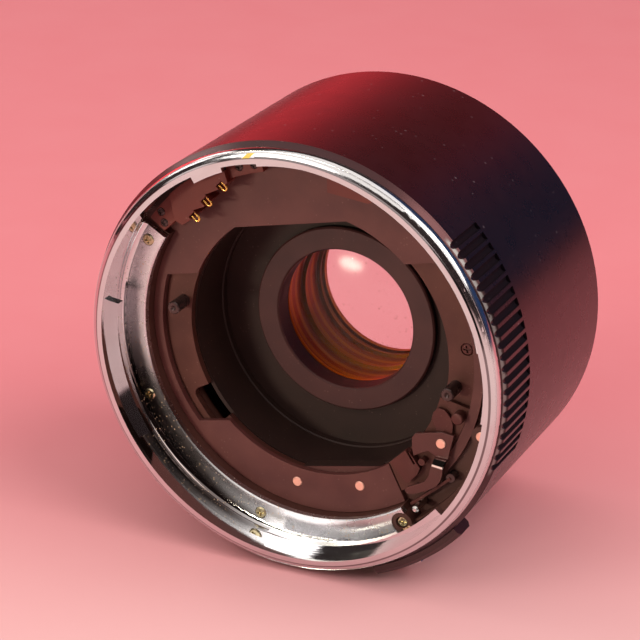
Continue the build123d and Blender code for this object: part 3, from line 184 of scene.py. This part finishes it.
def chrome_plate():
    """Mirror chrome on turned brass: crisp on rim and wall, satin and dusty on the screw flange."""
    material, tree, shader, place = start("polished_chrome_plating")
    radius, depth = round_the_axis(tree, place)
    cloud = add(tree, "TexNoise", {"Vector": place, "Scale": per_mm(5.0), "Detail": 6.0})
    stains = add(tree, "MapRange", [cloud, 0.42, 0.72])
    share = add(tree, "Math", [stains, 0.10], operation="MULTIPLY")
    colour = add(tree, "Mix", {0: share, 6: lin("dadadc"), 7: lin("9a8f88")}, **COLOURS)
    # The screw flange lies behind about 6 mm of depth and within 39.5 mm of the axis.
    inside = add(tree, "MapRange", [depth, 5.5, 7.0])
    flange = add(tree, "Math", [inside, add(tree, "MapRange", [radius, 39.9, 39.0])],
                 operation="MULTIPLY")
    specks = add(tree, "Math", [inside, 0.85], operation="MULTIPLY")
    specks = add(tree, "Math", [dust(tree, place, 0.55, 0.45, 5.0), specks], operation="MULTIPLY")
    # The lower left of the screw flange is painted smoky brown as a painted dark reflection.
    low_left = add(tree, "VectorMath", [place, LOW_LEFT], out="Value", operation="DOT_PRODUCT")
    painted_dark_reflection = add(tree, "MapRange", [low_left, 31.0, 37.0, 0.0, 0.85])
    painted_dark_reflection = add(tree, "Math", [painted_dark_reflection, inside], operation="MULTIPLY")
    colour = add(tree, "Mix", {0: painted_dark_reflection, 6: colour, 7: lin("4a3832")}, **COLOURS)
    # The turned step between the flat face and the round rim is drawn as a dark line of painted
    # shade in its crease.
    painted_step_shade = add(tree, "Math", [add(tree, "MapRange", [radius, 40.98, 41.08]),
                              add(tree, "MapRange", [radius, 41.45, 41.35])], operation="MULTIPLY")
    painted_step_shade = add(tree, "Math", [painted_step_shade, add(tree, "MapRange", [depth, 1.4, 0.9, 0.0, 0.75])],
               operation="MULTIPLY")
    colour = add(tree, "Mix", {0: painted_step_shade, 6: colour, 7: lin("4c3436")}, **COLOURS)
    colour = add(tree, "Mix", {0: specks, 6: colour, 7: lin("d8b48c")}, **COLOURS)
    # Flange, handled rim, stains and dust each take some of the mirror's sharpness.
    rim = add(tree, "MapRange", [radius, 41.0, 41.3])
    gloss = add(tree, "Math", [flange, 0.2, 0.06], operation="MULTIPLY_ADD")
    gloss = add(tree, "Math", [rim, 0.07, gloss], operation="MULTIPLY_ADD")
    gloss = add(tree, "Math", [share, 0.4, gloss], operation="MULTIPLY_ADD")
    gloss = add(tree, "Math", [specks, 0.5, gloss], operation="MULTIPLY_ADD")
    # Turning marks of about 0.1 mm are too fine to show, so they are drawn four times as coarse.
    across = add(tree, "CombineXYZ", [add(tree, "Math", [radius, depth], operation="ADD")])
    marks = add(tree, "TexNoise", {"Vector": across, "Scale": 1.0 / 0.4, "Detail": 1.0})
    height = add(tree, "Math", [marks, 0.8, specks], operation="MULTIPLY_ADD")
    relief = add(tree, "Bump", {"Height": height, "Strength": 0.3, "Distance": 0.02 * MM})
    settle(tree, shader, Base_Color=colour, Roughness=gloss, Normal=relief,
           Metallic=add(tree, "Math", [1.0, specks], operation="SUBTRACT"))
    return material


def barrel_paint():
    """Satin black paint on drawn aluminium, worn bright where the grip grooves cut the bevel."""
    material, tree, shader, place = start("barrel_satin_black_paint")
    radius, depth = round_the_axis(tree, place)
    cloud = add(tree, "TexNoise", {"Vector": place, "Scale": per_mm(14.0), "Detail": 4.0})
    tone = add(tree, "MapRange", [cloud, 0.3, 0.7])
    colour = add(tree, "Mix", {0: tone, 6: lin("08080b"), 7: lin("0f0e12")}, **COLOURS)
    # The front bevel widens from 42.65 mm at 2.5 mm of depth to the barrel's radius at 3.7 mm.
    # Between the ends of the grip grooves, which lie within about 31 degrees of the object's two
    # sides, its paint is rubbed off.
    slope = (BARREL_R - 42.65) / (3.7 - 2.5)
    outward = add(tree, "Math", [depth, -slope, slope * 2.5 - 42.65], operation="MULTIPLY_ADD")
    outward = add(tree, "Math", [radius, outward], operation="ADD")
    on_bevel = add(tree, "MapRange", [outward, -0.12, -0.05])
    front = add(tree, "Math", [add(tree, "MapRange", [depth, 3.4, 3.1]),
                               add(tree, "MapRange", [depth, 2.65, 2.8])], operation="MULTIPLY")
    aside = add(tree, "VectorMath", [place, ASIDE], out="Value", operation="DOT_PRODUCT")
    aside = add(tree, "Math", [add(tree, "Math", [aside], operation="ABSOLUTE"), radius],
                operation="DIVIDE")
    gripped = add(tree, "MapRange", [aside, 0.84, 0.86])
    patchy = add(tree, "TexNoise", {"Vector": place, "Scale": per_mm(1.6), "Detail": 4.0})
    worn = add(tree, "Math", [front, on_bevel], operation="MULTIPLY")
    worn = add(tree, "Math", [worn, gripped], operation="MULTIPLY")
    worn = add(tree, "Math", [worn, add(tree, "MapRange", [patchy, 0.3, 0.4])],
               operation="MULTIPLY")
    # The floors of the grip grooves, under the skin and up to 16 mm deep, stay matte and bluish.
    groove = add(tree, "Math", [add(tree, "MapRange", [radius, 43.42, 43.3]),
                                add(tree, "MapRange", [depth, 3.4, 3.8])], operation="MULTIPLY")
    groove = add(tree, "Math", [groove, add(tree, "MapRange", [depth, 16.0, 15.0])],
                 operation="MULTIPLY")
    colour = add(tree, "Mix", {0: groove, 6: colour, 7: lin("0b0b12")}, **COLOURS)
    specks = add(tree, "Math", [dust(tree, place, 1.1, 0.06), 0.25], operation="MULTIPLY")
    colour = add(tree, "Mix", {0: specks, 6: colour, 7: lin("8d7f86")}, **COLOURS)
    colour = add(tree, "Mix", {0: worn, 6: colour, 7: lin("8c8886")}, **COLOURS)
    patches = add(tree, "TexNoise", {"Vector": place, "Scale": per_mm(3.5), "Detail": 3.0})
    gloss = add(tree, "Math", [patches, 0.08, 0.24], operation="MULTIPLY_ADD")
    gloss = add(tree, "Math", [groove, 0.4, gloss], operation="MULTIPLY_ADD")
    gloss = add(tree, "Math", [worn, 0.2, gloss], operation="MULTIPLY_ADD")
    # The paint's grain is about 0.1 mm, too fine to show, so it is drawn three times as coarse.
    fine = add(tree, "TexNoise", {"Vector": place, "Scale": per_mm(0.3), "Detail": 2.0})
    relief = add(tree, "Bump", {"Height": fine, "Strength": 0.1, "Distance": 0.03 * MM})
    shine = add(tree, "MapRange", [groove, 0.0, 1.0, 0.78, 0.15])
    settle(tree, shader, Base_Color=colour, Roughness=gloss, Normal=relief, Metallic=worn,
           Specular_IOR_Level=shine, Specular_Tint=lin("ffb2b4"))
    return material


def light_trap():
    """Matte black light trap; the front face of its ledge has the plate's browner anodising."""
    material, tree, shader, place = start("light_trap_matte_black")
    depth = round_the_axis(tree, place)[1]
    cloud = add(tree, "TexNoise", {"Vector": place, "Scale": per_mm(7.0), "Detail": 4.0})
    colour = add(tree, "Mix", {0: cloud, 6: lin("251715"), 7: lin("36221d")}, **COLOURS)
    # The ledge is all that lies in front of 14 mm of depth.
    ledge = add(tree, "MapRange", [depth, 14.0, 13.7])
    colour = add(tree, "Mix", {0: ledge, 6: colour, 7: lin("55302d")}, **COLOURS)
    specks = add(tree, "Math", [dust(tree, place, 0.6, 0.16), 0.14], operation="MULTIPLY")
    colour = add(tree, "Mix", {0: specks, 6: colour, 7: lin(DUST)}, **COLOURS)
    # The coat's grain is about 0.1 mm, too fine to show, so it is drawn four times as coarse.
    fine = add(tree, "TexNoise", {"Vector": place, "Scale": per_mm(0.4), "Detail": 2.0})
    relief = add(tree, "Bump", {"Height": fine, "Strength": 0.2, "Distance": 0.03 * MM})
    settle(tree, shader, Base_Color=colour, Roughness=0.6, Normal=relief, Specular_IOR_Level=0.25)
    return material


def hook_steel():
    """Blackened lever steel; the bend up to the hook is painted near black as shade, and its corner
    near white as a painted highlight.
    """
    material, tree, shader, place = start("blackened_steel_with_painted_bend_shade")
    up = add(tree, "VectorMath", [place, HOOK_UP], out="Value", operation="DOT_PRODUCT")
    side = add(tree, "VectorMath", [place, HOOK_SIDE], out="Value", operation="DOT_PRODUCT")
    # The arm lies more than 27.3 mm aside, its bend 14.6 to 16 mm below the axis, and the corner
    # ends the bend at 16 to 16.4 mm.
    arm = add(tree, "MapRange", [side, 27.2, 27.5])
    painted_bend_shade = add(tree, "Math", [add(tree, "MapRange", [up, -16.1, -15.9]),
                              add(tree, "MapRange", [up, -14.5, -14.7])], operation="MULTIPLY")
    painted_bend_shade = add(tree, "Math", [painted_bend_shade, arm], operation="MULTIPLY")
    painted_corner_highlight = add(tree, "Math", [add(tree, "MapRange", [up, -16.5, -16.35]),
                                add(tree, "MapRange", [up, -15.95, -16.05])], operation="MULTIPLY")
    painted_corner_highlight = add(tree, "Math", [painted_corner_highlight, arm], operation="MULTIPLY")
    cloud = add(tree, "TexNoise", {"Vector": place, "Scale": per_mm(3.0), "Detail": 4.0})
    colour = add(tree, "Mix", {0: cloud, 6: lin("4a2522"), 7: lin("582e29")}, **COLOURS)
    # Painted shade on the riser of the bend, and a painted highlight along its corner.
    colour = add(tree, "Mix", {0: painted_bend_shade, 6: colour, 7: lin("0a0707")}, **COLOURS)
    colour = add(tree, "Mix", {0: painted_corner_highlight, 6: colour, 7: lin("f2e4dc")}, **COLOURS)
    specks = add(tree, "Math", [dust(tree, place, 0.6, 0.16), 0.16], operation="MULTIPLY")
    colour = add(tree, "Mix", {0: specks, 6: colour, 7: lin(DUST)}, **COLOURS)
    gloss = add(tree, "MapRange", [painted_bend_shade, 0.0, 1.0, 0.36, 0.7])
    settle(tree, shader, Base_Color=colour, Roughness=gloss,
           Metallic=add(tree, "Math", [painted_corner_highlight, 0.5, 0.25], operation="MULTIPLY_ADD"),
           Specular_IOR_Level=add(tree, "MapRange", [painted_bend_shade, 0.0, 1.0, 0.5, 0.1]))
    return material


def lens_cell_finish():
    """Anodised tube, black outside; its turned bore looks amber and glossy through the coatings."""
    material, tree, shader, place = start("black_anodised_cell_with_amber_bore")
    radius, depth = round_the_axis(tree, place)
    bore = add(tree, "MapRange", [radius, 16.6, 16.2])
    cloud = add(tree, "TexNoise", {"Vector": place, "Scale": per_mm(8.0), "Detail": 4.0})
    # Lighter bands of painted light and shade, which stand for the bore's steps between the
    # glasses, come every 2.417 mm.
    turns = add(tree, "Math", [depth, tau / 2.417], operation="MULTIPLY")
    wave = add(tree, "Math", [turns], operation="SINE")
    painted_step_bands = add(tree, "MapRange", [wave, -0.4, 0.9], interpolation_type="SMOOTHSTEP")
    amber = add(tree, "Mix", {0: painted_step_bands, 6: lin("e25806"), 7: lin("ff8410")}, **COLOURS)
    cloud = add(tree, "Math", [cloud, 0.35], operation="MULTIPLY")
    amber = add(tree, "Mix", {0: cloud, 6: amber, 7: lin("b43c04")}, **COLOURS)
    colour = add(tree, "Mix", {0: bore, 6: lin("191313"), 7: amber}, **COLOURS)
    # Ribs turned into a bore are about 0.3 mm apart, too fine to show, and are drawn at 0.748 mm.
    turns = add(tree, "Math", [depth, tau / 0.748], operation="MULTIPLY")
    ribs = add(tree, "Math", [turns], operation="SINE")
    height = add(tree, "Math", [ribs, bore], operation="MULTIPLY")
    relief = add(tree, "Bump", {"Height": height, "Strength": 0.03, "Distance": 0.1 * MM})
    settle(tree, shader, Base_Color=colour, Normal=relief,
           Metallic=add(tree, "Math", [bore, 0.15], operation="MULTIPLY"),
           Roughness=add(tree, "MapRange", [bore, 0.0, 1.0, 0.5, 0.4]), Specular_IOR_Level=0.15)
    return material


def index_enamel():
    """Yellow enamel of the index mark, a short slanted stroke on a field of bare chrome."""
    material, tree, shader, place = start("yellow_enamel_stroke_on_chrome")
    radius = round_the_axis(tree, place)[0]
    # The stroke starts 0.6 mm aside at 41.2 mm from the axis, leans 1.4 mm aside for each
    # millimetre outwards, and is about 1.6 mm wide.
    lean, start_r, start_aside = 1.4, 41.2, 0.6
    across = add(tree, "VectorMath", [place, ASIDE], out="Value", operation="DOT_PRODUCT")
    slant = add(tree, "Math", [radius, -lean, start_r * lean - start_aside],
                operation="MULTIPLY_ADD")
    off = add(tree, "Math", [add(tree, "Math", [across, slant], operation="ADD")],
              operation="ABSOLUTE")
    stroke = add(tree, "MapRange", [off, 0.85, 0.7])
    colour = add(tree, "Mix", {0: stroke, 6: lin("dadadc"), 7: lin("d6b94e")}, **COLOURS)
    settle(tree, shader, Base_Color=colour,
           Roughness=add(tree, "MapRange", [stroke, 0.0, 1.0, 0.13, 0.4]),
           Metallic=add(tree, "Math", [1.0, stroke], operation="SUBTRACT"))
    return material


def coated_glass(name, coat, opacity):
    """Clear optical glass with a faint coating sheen and a little dust on its face.

    Its index is set far below the 1.5 of glass, so that six elements in a row don't bend the view
    of the bore, and the coat alone gives the sheen of real glass.
    """
    material, tree, shader, place = start(name)
    specks = add(tree, "Math", [dust(tree, place, 1.1, 0.2), 0.4], operation="MULTIPLY")
    colour = add(tree, "Mix", {0: specks, 6: lin("fcffff"), 7: lin("d8c8c0")}, **COLOURS)
    settle(tree, shader, Base_Color=colour,
           Roughness=add(tree, "Math", [specks, 0.5], operation="MULTIPLY"),
           Transmission_Weight=1.0, IOR=1.02, Coat_Weight=coat, Coat_IOR=1.5, Coat_Roughness=0.13,
           Alpha=opacity)
    return material


FINISH = {
    # satin paint on drawn aluminium: near black, with a broad soft mirror of the paper
    "barrel": barrel_paint(),
    # chrome on turned brass: sharp bright and dark reflections, duller where it is stained, with a
    # painted dark reflection on the lower left of the flange
    "chrome": chrome_plate(),
    # enamel: smooth, flat colour, slightly glossy
    "index": index_enamel(),
    "bead": coated("red_enamel_bead", "5a0d10", "701418", 0.3, 0.5, 0.05, dusty=0.1),
    # yellow passivated zinc: pale brass colour, uneven shine
    "zinc": plated("yellow_passivated_zinc", "d9cba4", "8a7a52", 0.22, 0.5, dusty=0.2, lines=0.3),
    # satin nickel: broad soft shine; its colour is tinted pink as a painted reflection of the paper
    # that it mirrors
    "rivet": plated("satin_nickel", "f2bcaa", "d0907c", 0.42, 0.4, lines=0.3),
    # anodised castings and sheet: brown-black with a dry fine grain
    "frame": coated("black_anodised_casting", "442520", "502f28", 0.5, 0.6, 0.22, specular=0.3),
    "plate": coated("black_anodised_sheet", "502826", "5e3430", 0.5, 0.45, 0.14, specular=0.3),
    # blackened steel: the same brown-black with a dull metal sheen
    "drive": coated("blackened_steel_ring", "4a2822", "58332b", 0.44, 0.5, 0.1, metallic=0.25,
                    specular=0.3),
    "lever": coated("blackened_steel_levers", "4a2522", "582e29", 0.4, 0.5, 0.1, metallic=0.25,
                    specular=0.3),
    "hook": hook_steel(),
    # oiled steel: darker, and glossy enough for a small highlight along each pin
    "post": coated("oiled_black_steel_pins", "3a2b29", "5a4644", 0.26, 0.5, 0.08, metallic=0.6,
                   dusty=0.1),
    # ground steel: bright, with fine lines that stretch the highlight
    "steel": plated("ground_steel", "d6d2ce", "8a8078", 0.16, 0.3, lines=0.5),
    # satin paint on the slider: very dark, a softer shine than the barrel's; its dark red tint is
    # painted bounce light from the pink paper
    "slider": coated("satin_black_slider_paint", "2a0e0e", "361313", 0.34, 0.4, 0.12),
    # polished aluminium: pale and bright, a little scratched
    "pad": plated("polished_aluminium_pad", "e6e4e2", "a8a09c", 0.2, 0.25, lines=0.2),
    # moulded plastic: reddish black with a fine moulded grain, and more dust
    "block": coated("moulded_black_plastic", "5a1f19", "6a2b21", 0.44, 0.5, 0.16, dusty=0.3,
                    specular=0.3),
    # gold plate: warm, crisp highlights on the thin wires
    "gold": plated("gold_plated_contacts", "eec06a", "a8742c", 0.18, 0.3),
    # matte black paint: swallows the light, so the throat stays dark
    "baffle": light_trap(),
    # matte anodising: a flat brown-black ring round the glass
    "bezel": coated("matte_black_anodised_bezel", "3e2020", "4a2927", 0.52, 0.4, 0.12,
                    specular=0.3),
    # black anodised tube: its bore takes the amber that the coatings give it
    "cell": lens_cell_finish(),
    # coated glass: clear, with one soft highlight on the front element
    "front_glass": coated_glass("front_coated_glass", coat=0.3, opacity=1.0),
    "inner_glass": coated_glass("inner_glass", coat=0.02, opacity=1.0),
    # bloomed glass, drawn nearly clear, so that light reaches the bore
    "rear_glass": coated_glass("rear_bloomed_glass", coat=0.02, opacity=0.02),
    # polyimide film: amber brown, smooth and slightly glossy
    "circuit": coated("amber_circuit_film", "6a3410", "8a4818", 0.3, 2.0, 0.05),
}
LOOK = {
    "barrel_shell": "barrel", "alignment_bead": "bead", "front_bayonet_ring": "chrome",
    "index_dot": "index", "bayonet_screws": "zinc", "main_frame": "frame", "front_plate": "plate",
    "plate_rivets": "rivet", "light_baffle": "baffle", "drive_ring": "drive", "drive_posts": "post",
    "drive_ring_screw": "lever", "transfer_bars": "drive", "rear_drive_ring": "drive",
    "mechanism_base": "drive", "stop_pin": "lever", "lock_pawl": "lever", "hook_lever": "hook",
    "lever_rivet": "rivet", "guide_block": "lever", "small_stop_pin": "lever",
    "lever_spring": "lever", "spring_post": "post", "release_slider": "slider",
    "slider_pad": "pad", "lens_lock_pin": "steel", "lens_bezel": "bezel", "lens_cell": "cell",
    "cell_lock_ring": "bezel", "contact_block": "block", "contact_block_screws": "post",
    "contact_springs": "gold", "side_contact_block": "block", "side_contacts": "gold",
    "circuit_strip": "circuit", "rear_bayonet": "chrome", "rear_bayonet_screws": "zinc",
    "rear_cover": "frame", "rear_contact_blocks": "block",
}
for kind, numbers, finish in (("rear_contact_pin", (1, 2, 3, 4, 5), "gold"),
                              ("lens_spacer", (1, 2, 3), "cell"),
                              ("lens_element", (1,), "front_glass"),
                              ("lens_element", (2, 3), "inner_glass"),
                              ("lens_element", (4, 5, 6), "rear_glass")):
    LOOK.update({f"{kind}_{number}": finish for number in numbers})

for name, thing in NODES.items():
    thing.data.materials.clear()
    thing.data.materials.append(FINISH[LOOK[name]])


# Shapes
def take_in_hand(piece):
    """Puts a new piece into the scene and makes it the one that operators work on."""
    bpy.ops.object.select_all(action="DESELECT")
    scene.collection.objects.link(piece)
    bpy.context.view_layer.objects.active = piece
    piece.select_set(True)


def soften(node, width):
    """Copy of a solid, its edges rounded by a width in millimetres, which stands for the node."""
    sharp = radians(35.0)
    piece = NODES[node].copy()
    piece.data = NODES[node].data.copy()
    piece.name = piece.data.name = node + "_finished"
    take_in_hand(piece)
    bpy.ops.object.mode_set(mode="EDIT")
    bpy.ops.mesh.select_all(action="SELECT")
    bpy.ops.mesh.remove_doubles(threshold=0.001 * MM)
    bpy.ops.mesh.dissolve_limited(angle_limit=radians(1.0))
    bpy.ops.object.mode_set(mode="OBJECT")
    bpy.ops.object.shade_smooth_by_angle(angle=sharp)
    edge = piece.modifiers.new("broken_edges", "BEVEL")
    edge.width = width * MM
    edge.segments = 2
    edge.limit_method = "ANGLE"
    edge.angle_limit = sharp
    edge.use_clamp_overlap = True
    edge.harden_normals = True
    bpy.ops.object.modifier_apply(modifier=edge.name)
    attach(piece, BODY_OF[node])
    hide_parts(node)


# Machined and moulded parts have small broken edges, which catch the light.
for node, width in (("hook_lever", 0.12), ("lock_pawl", 0.12), ("guide_block", 0.15),
                    ("stop_pin", 0.08), ("front_plate", 0.1), ("contact_block", 0.12),
                    ("drive_ring", 0.1)):
    soften(node, width)


def lens_disc(name, radius, vertex, front_curve, rear_curve, thickness):
    """Double convex disc on the axis, spun from its vertex depth and curvatures in millimetres."""
    rings, turns = 14, 96
    front, rear = [], []
    for ring in range(rings + 1):
        r = radius * ring / rings
        front.append((r, vertex + front_curve - (front_curve ** 2 - r * r) ** 0.5))
        rear.append((r, vertex + thickness - rear_curve + (rear_curve ** 2 - r * r) ** 0.5))
    outline = front + rear[::-1]
    mesh = bpy.data.meshes.new(name)
    mesh.from_pydata([(r * MM, (depth - SEAT_DISTANCE) * MM, 0.0) for r, depth in outline],
                     [(i, i + 1) for i in range(len(outline) - 1)], [])
    piece = bpy.data.objects.new(name, mesh)
    take_in_hand(piece)
    bpy.ops.object.mode_set(mode="EDIT")
    bpy.ops.mesh.select_all(action="SELECT")
    bpy.ops.mesh.spin(steps=turns, angle=tau, center=(0, 0, 0), axis=(0, 1, 0), dupli=False)
    bpy.ops.mesh.select_all(action="SELECT")
    bpy.ops.mesh.remove_doubles(threshold=0.01 * MM)
    bpy.ops.mesh.normals_make_consistent(inside=False)
    bpy.ops.object.mode_set(mode="OBJECT")
    bpy.ops.object.shade_smooth_by_angle(angle=radians(30.0))
    return piece


# The front glass is spun finer than its solid, so that reflections on it stay smooth.
front_disc = lens_disc("front_glass_disc", radius=15.7, vertex=28.0, front_curve=45.0,
                       rear_curve=120.0, thickness=4.0)
front_disc.data.materials.append(FINISH["front_glass"])
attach(front_disc, BODY_OF["lens_element_1"])
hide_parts("lens_element_1")

# Surroundings
floor_material, tree, shader, place = start("pink_paper_sweep")
# Seamless paper, matte. Its colour is painted paler near the camera as painted light, and deeper
# red towards the back of the sweep as painted shade where the light falls off.
# These distances are in metres.
across, along = add(tree, "SeparateXYZ", [place]).node.outputs[:2]
slant = add(tree, "Math", [across, -0.45, along], operation="MULTIPLY_ADD")
painted_near_light = add(tree, "MapRange", [slant, 0.06, -0.2], interpolation_type="SMOOTHSTEP")
painted_far_shade = add(tree, "MapRange", [slant, 0.5, 2.0], interpolation_type="SMOOTHSTEP")
paper = add(tree, "Mix", {0: painted_near_light, 6: lin("de828a"), 7: lin("dfc2c1")}, **COLOURS)
paper = add(tree, "Mix", {0: painted_far_shade, 6: paper, 7: lin("b03842")}, **COLOURS)
fibre = add(tree, "TexNoise", {"Vector": place, "Scale": per_mm(25.0), "Detail": 6.0})
fibre = add(tree, "Math", [fibre, 0.08], operation="MULTIPLY")
paper = add(tree, "Mix", {0: fibre, 6: paper, 7: lin("f7cdd0")}, **COLOURS)
settle(tree, shader, Base_Color=paper, Roughness=0.9, Specular_IOR_Level=0.1)

bpy.ops.object.select_all(action="DESELECT")
bpy.ops.mesh.primitive_plane_add(size=7.0, location=(0.0, 1.0, -FLOOR_DROP * MM))
floor = bpy.context.object
floor.name = "floor"
bpy.ops.object.transform_apply(location=True, rotation=True, scale=True)
floor.data.materials.append(floor_material)


def lamp(name, place, target, width, height, power, colour=WARM_WHITE):
    """Soft box at a place, turned to a target; lengths in metres and power in watts."""
    data = bpy.data.lights.new(name, "AREA")
    data.shape = "ELLIPSE"
    data.size, data.size_y = width, height
    data.energy = power
    data.color = lin(colour)[:3]
    made = bpy.data.objects.new(name, data)
    scene.collection.objects.link(made)
    made.location = place
    made.rotation_mode = "QUATERNION"
    made.rotation_quaternion = (Vector(target) - Vector(place)).to_track_quat("-Z", "Y")


lamp("overhead_soft_box", (-0.02, -0.3, 1.1), (-0.05, -0.15, 0), 2.3, 2.1, 14.0)
lamp("right_soft_box", (0.95, -0.1, 0.9), (0.1, -0.05, 0), 1.3, 1.0, 12.5)
lamp("left_soft_box", (-1.0, 0.1, 0.6), (-0.05, -0.1, 0), 1.0, 0.5, 3.0)
lamp("front_soft_box", (-0.6, -1.0, 0.75), (0, -0.02, 0), 0.85, 0.6, 4.8)
# This small one gives the highlight on the front glass.
lamp("low_front_soft_box", (-0.43, -1.0, 0.075), (0, -0.02, 0), 0.25, 0.11, 4.4, "fff8e0")

# Dark studio room; behind the object the sweep is deep pink low on the left, the rest cool.
world = bpy.data.worlds.new("studio_room")
scene.world = world
world.use_nodes = True
sky = world.node_tree
direction = add(sky, "TexCoord", out="Generated")
across, behind, height = add(sky, "SeparateXYZ", [direction]).node.outputs
low = add(sky, "MapRange", [height, 0.56, 0.15], interpolation_type="SMOOTHSTEP")
back = add(sky, "MapRange", [behind, 0.0, 0.5], interpolation_type="SMOOTHSTEP")
left = add(sky, "MapRange", [across, 0.28, 0.0], interpolation_type="SMOOTHSTEP")
pink = add(sky, "Math", [low, back], operation="MULTIPLY")
pink = add(sky, "Math", [pink, left], operation="MULTIPLY")
cool = add(sky, "Math", [1.0, left], operation="SUBTRACT")
cool = add(sky, "Math", [cool, back], operation="MULTIPLY")
room = add(sky, "Mix", {0: cool, 6: lin("241b1b"), 7: lin("1c2c4a")}, **COLOURS)
room = add(sky, "Mix", {0: pink, 6: room, 7: lin("f4464e")}, **COLOURS)
settle(sky, sky.nodes["Background"], Color=room, Strength=1.7)

scene.view_settings.view_transform = "Standard"

# Camera at the photograph's viewing angle. Angles are in radians, and its distance and target were
# fitted in shares of the barrel's radius.
AZIMUTH, ELEVATION = 0.45020, 0.39842
DISTANCE = 10.2014 * BARREL_R * MM
target = Vector((0.1652 * BARREL_R * MM, -SEAT_DISTANCE * MM, 0.2563 * BARREL_R * MM))
ahead = Vector((sin(AZIMUTH) * cos(ELEVATION), -cos(AZIMUTH) * cos(ELEVATION), sin(ELEVATION)))
camera_data = bpy.data.cameras.new("camera")
camera_data.sensor_width = 36.0
camera_data.lens = 135.0
camera_data.clip_start = 0.01
camera = bpy.data.objects.new("camera", camera_data)
scene.collection.objects.link(camera)
camera.location = target + ahead * DISTANCE
camera.rotation_mode = "QUATERNION"
camera.rotation_quaternion = (-ahead).to_track_quat("-Z", "Y")
scene.camera = camera
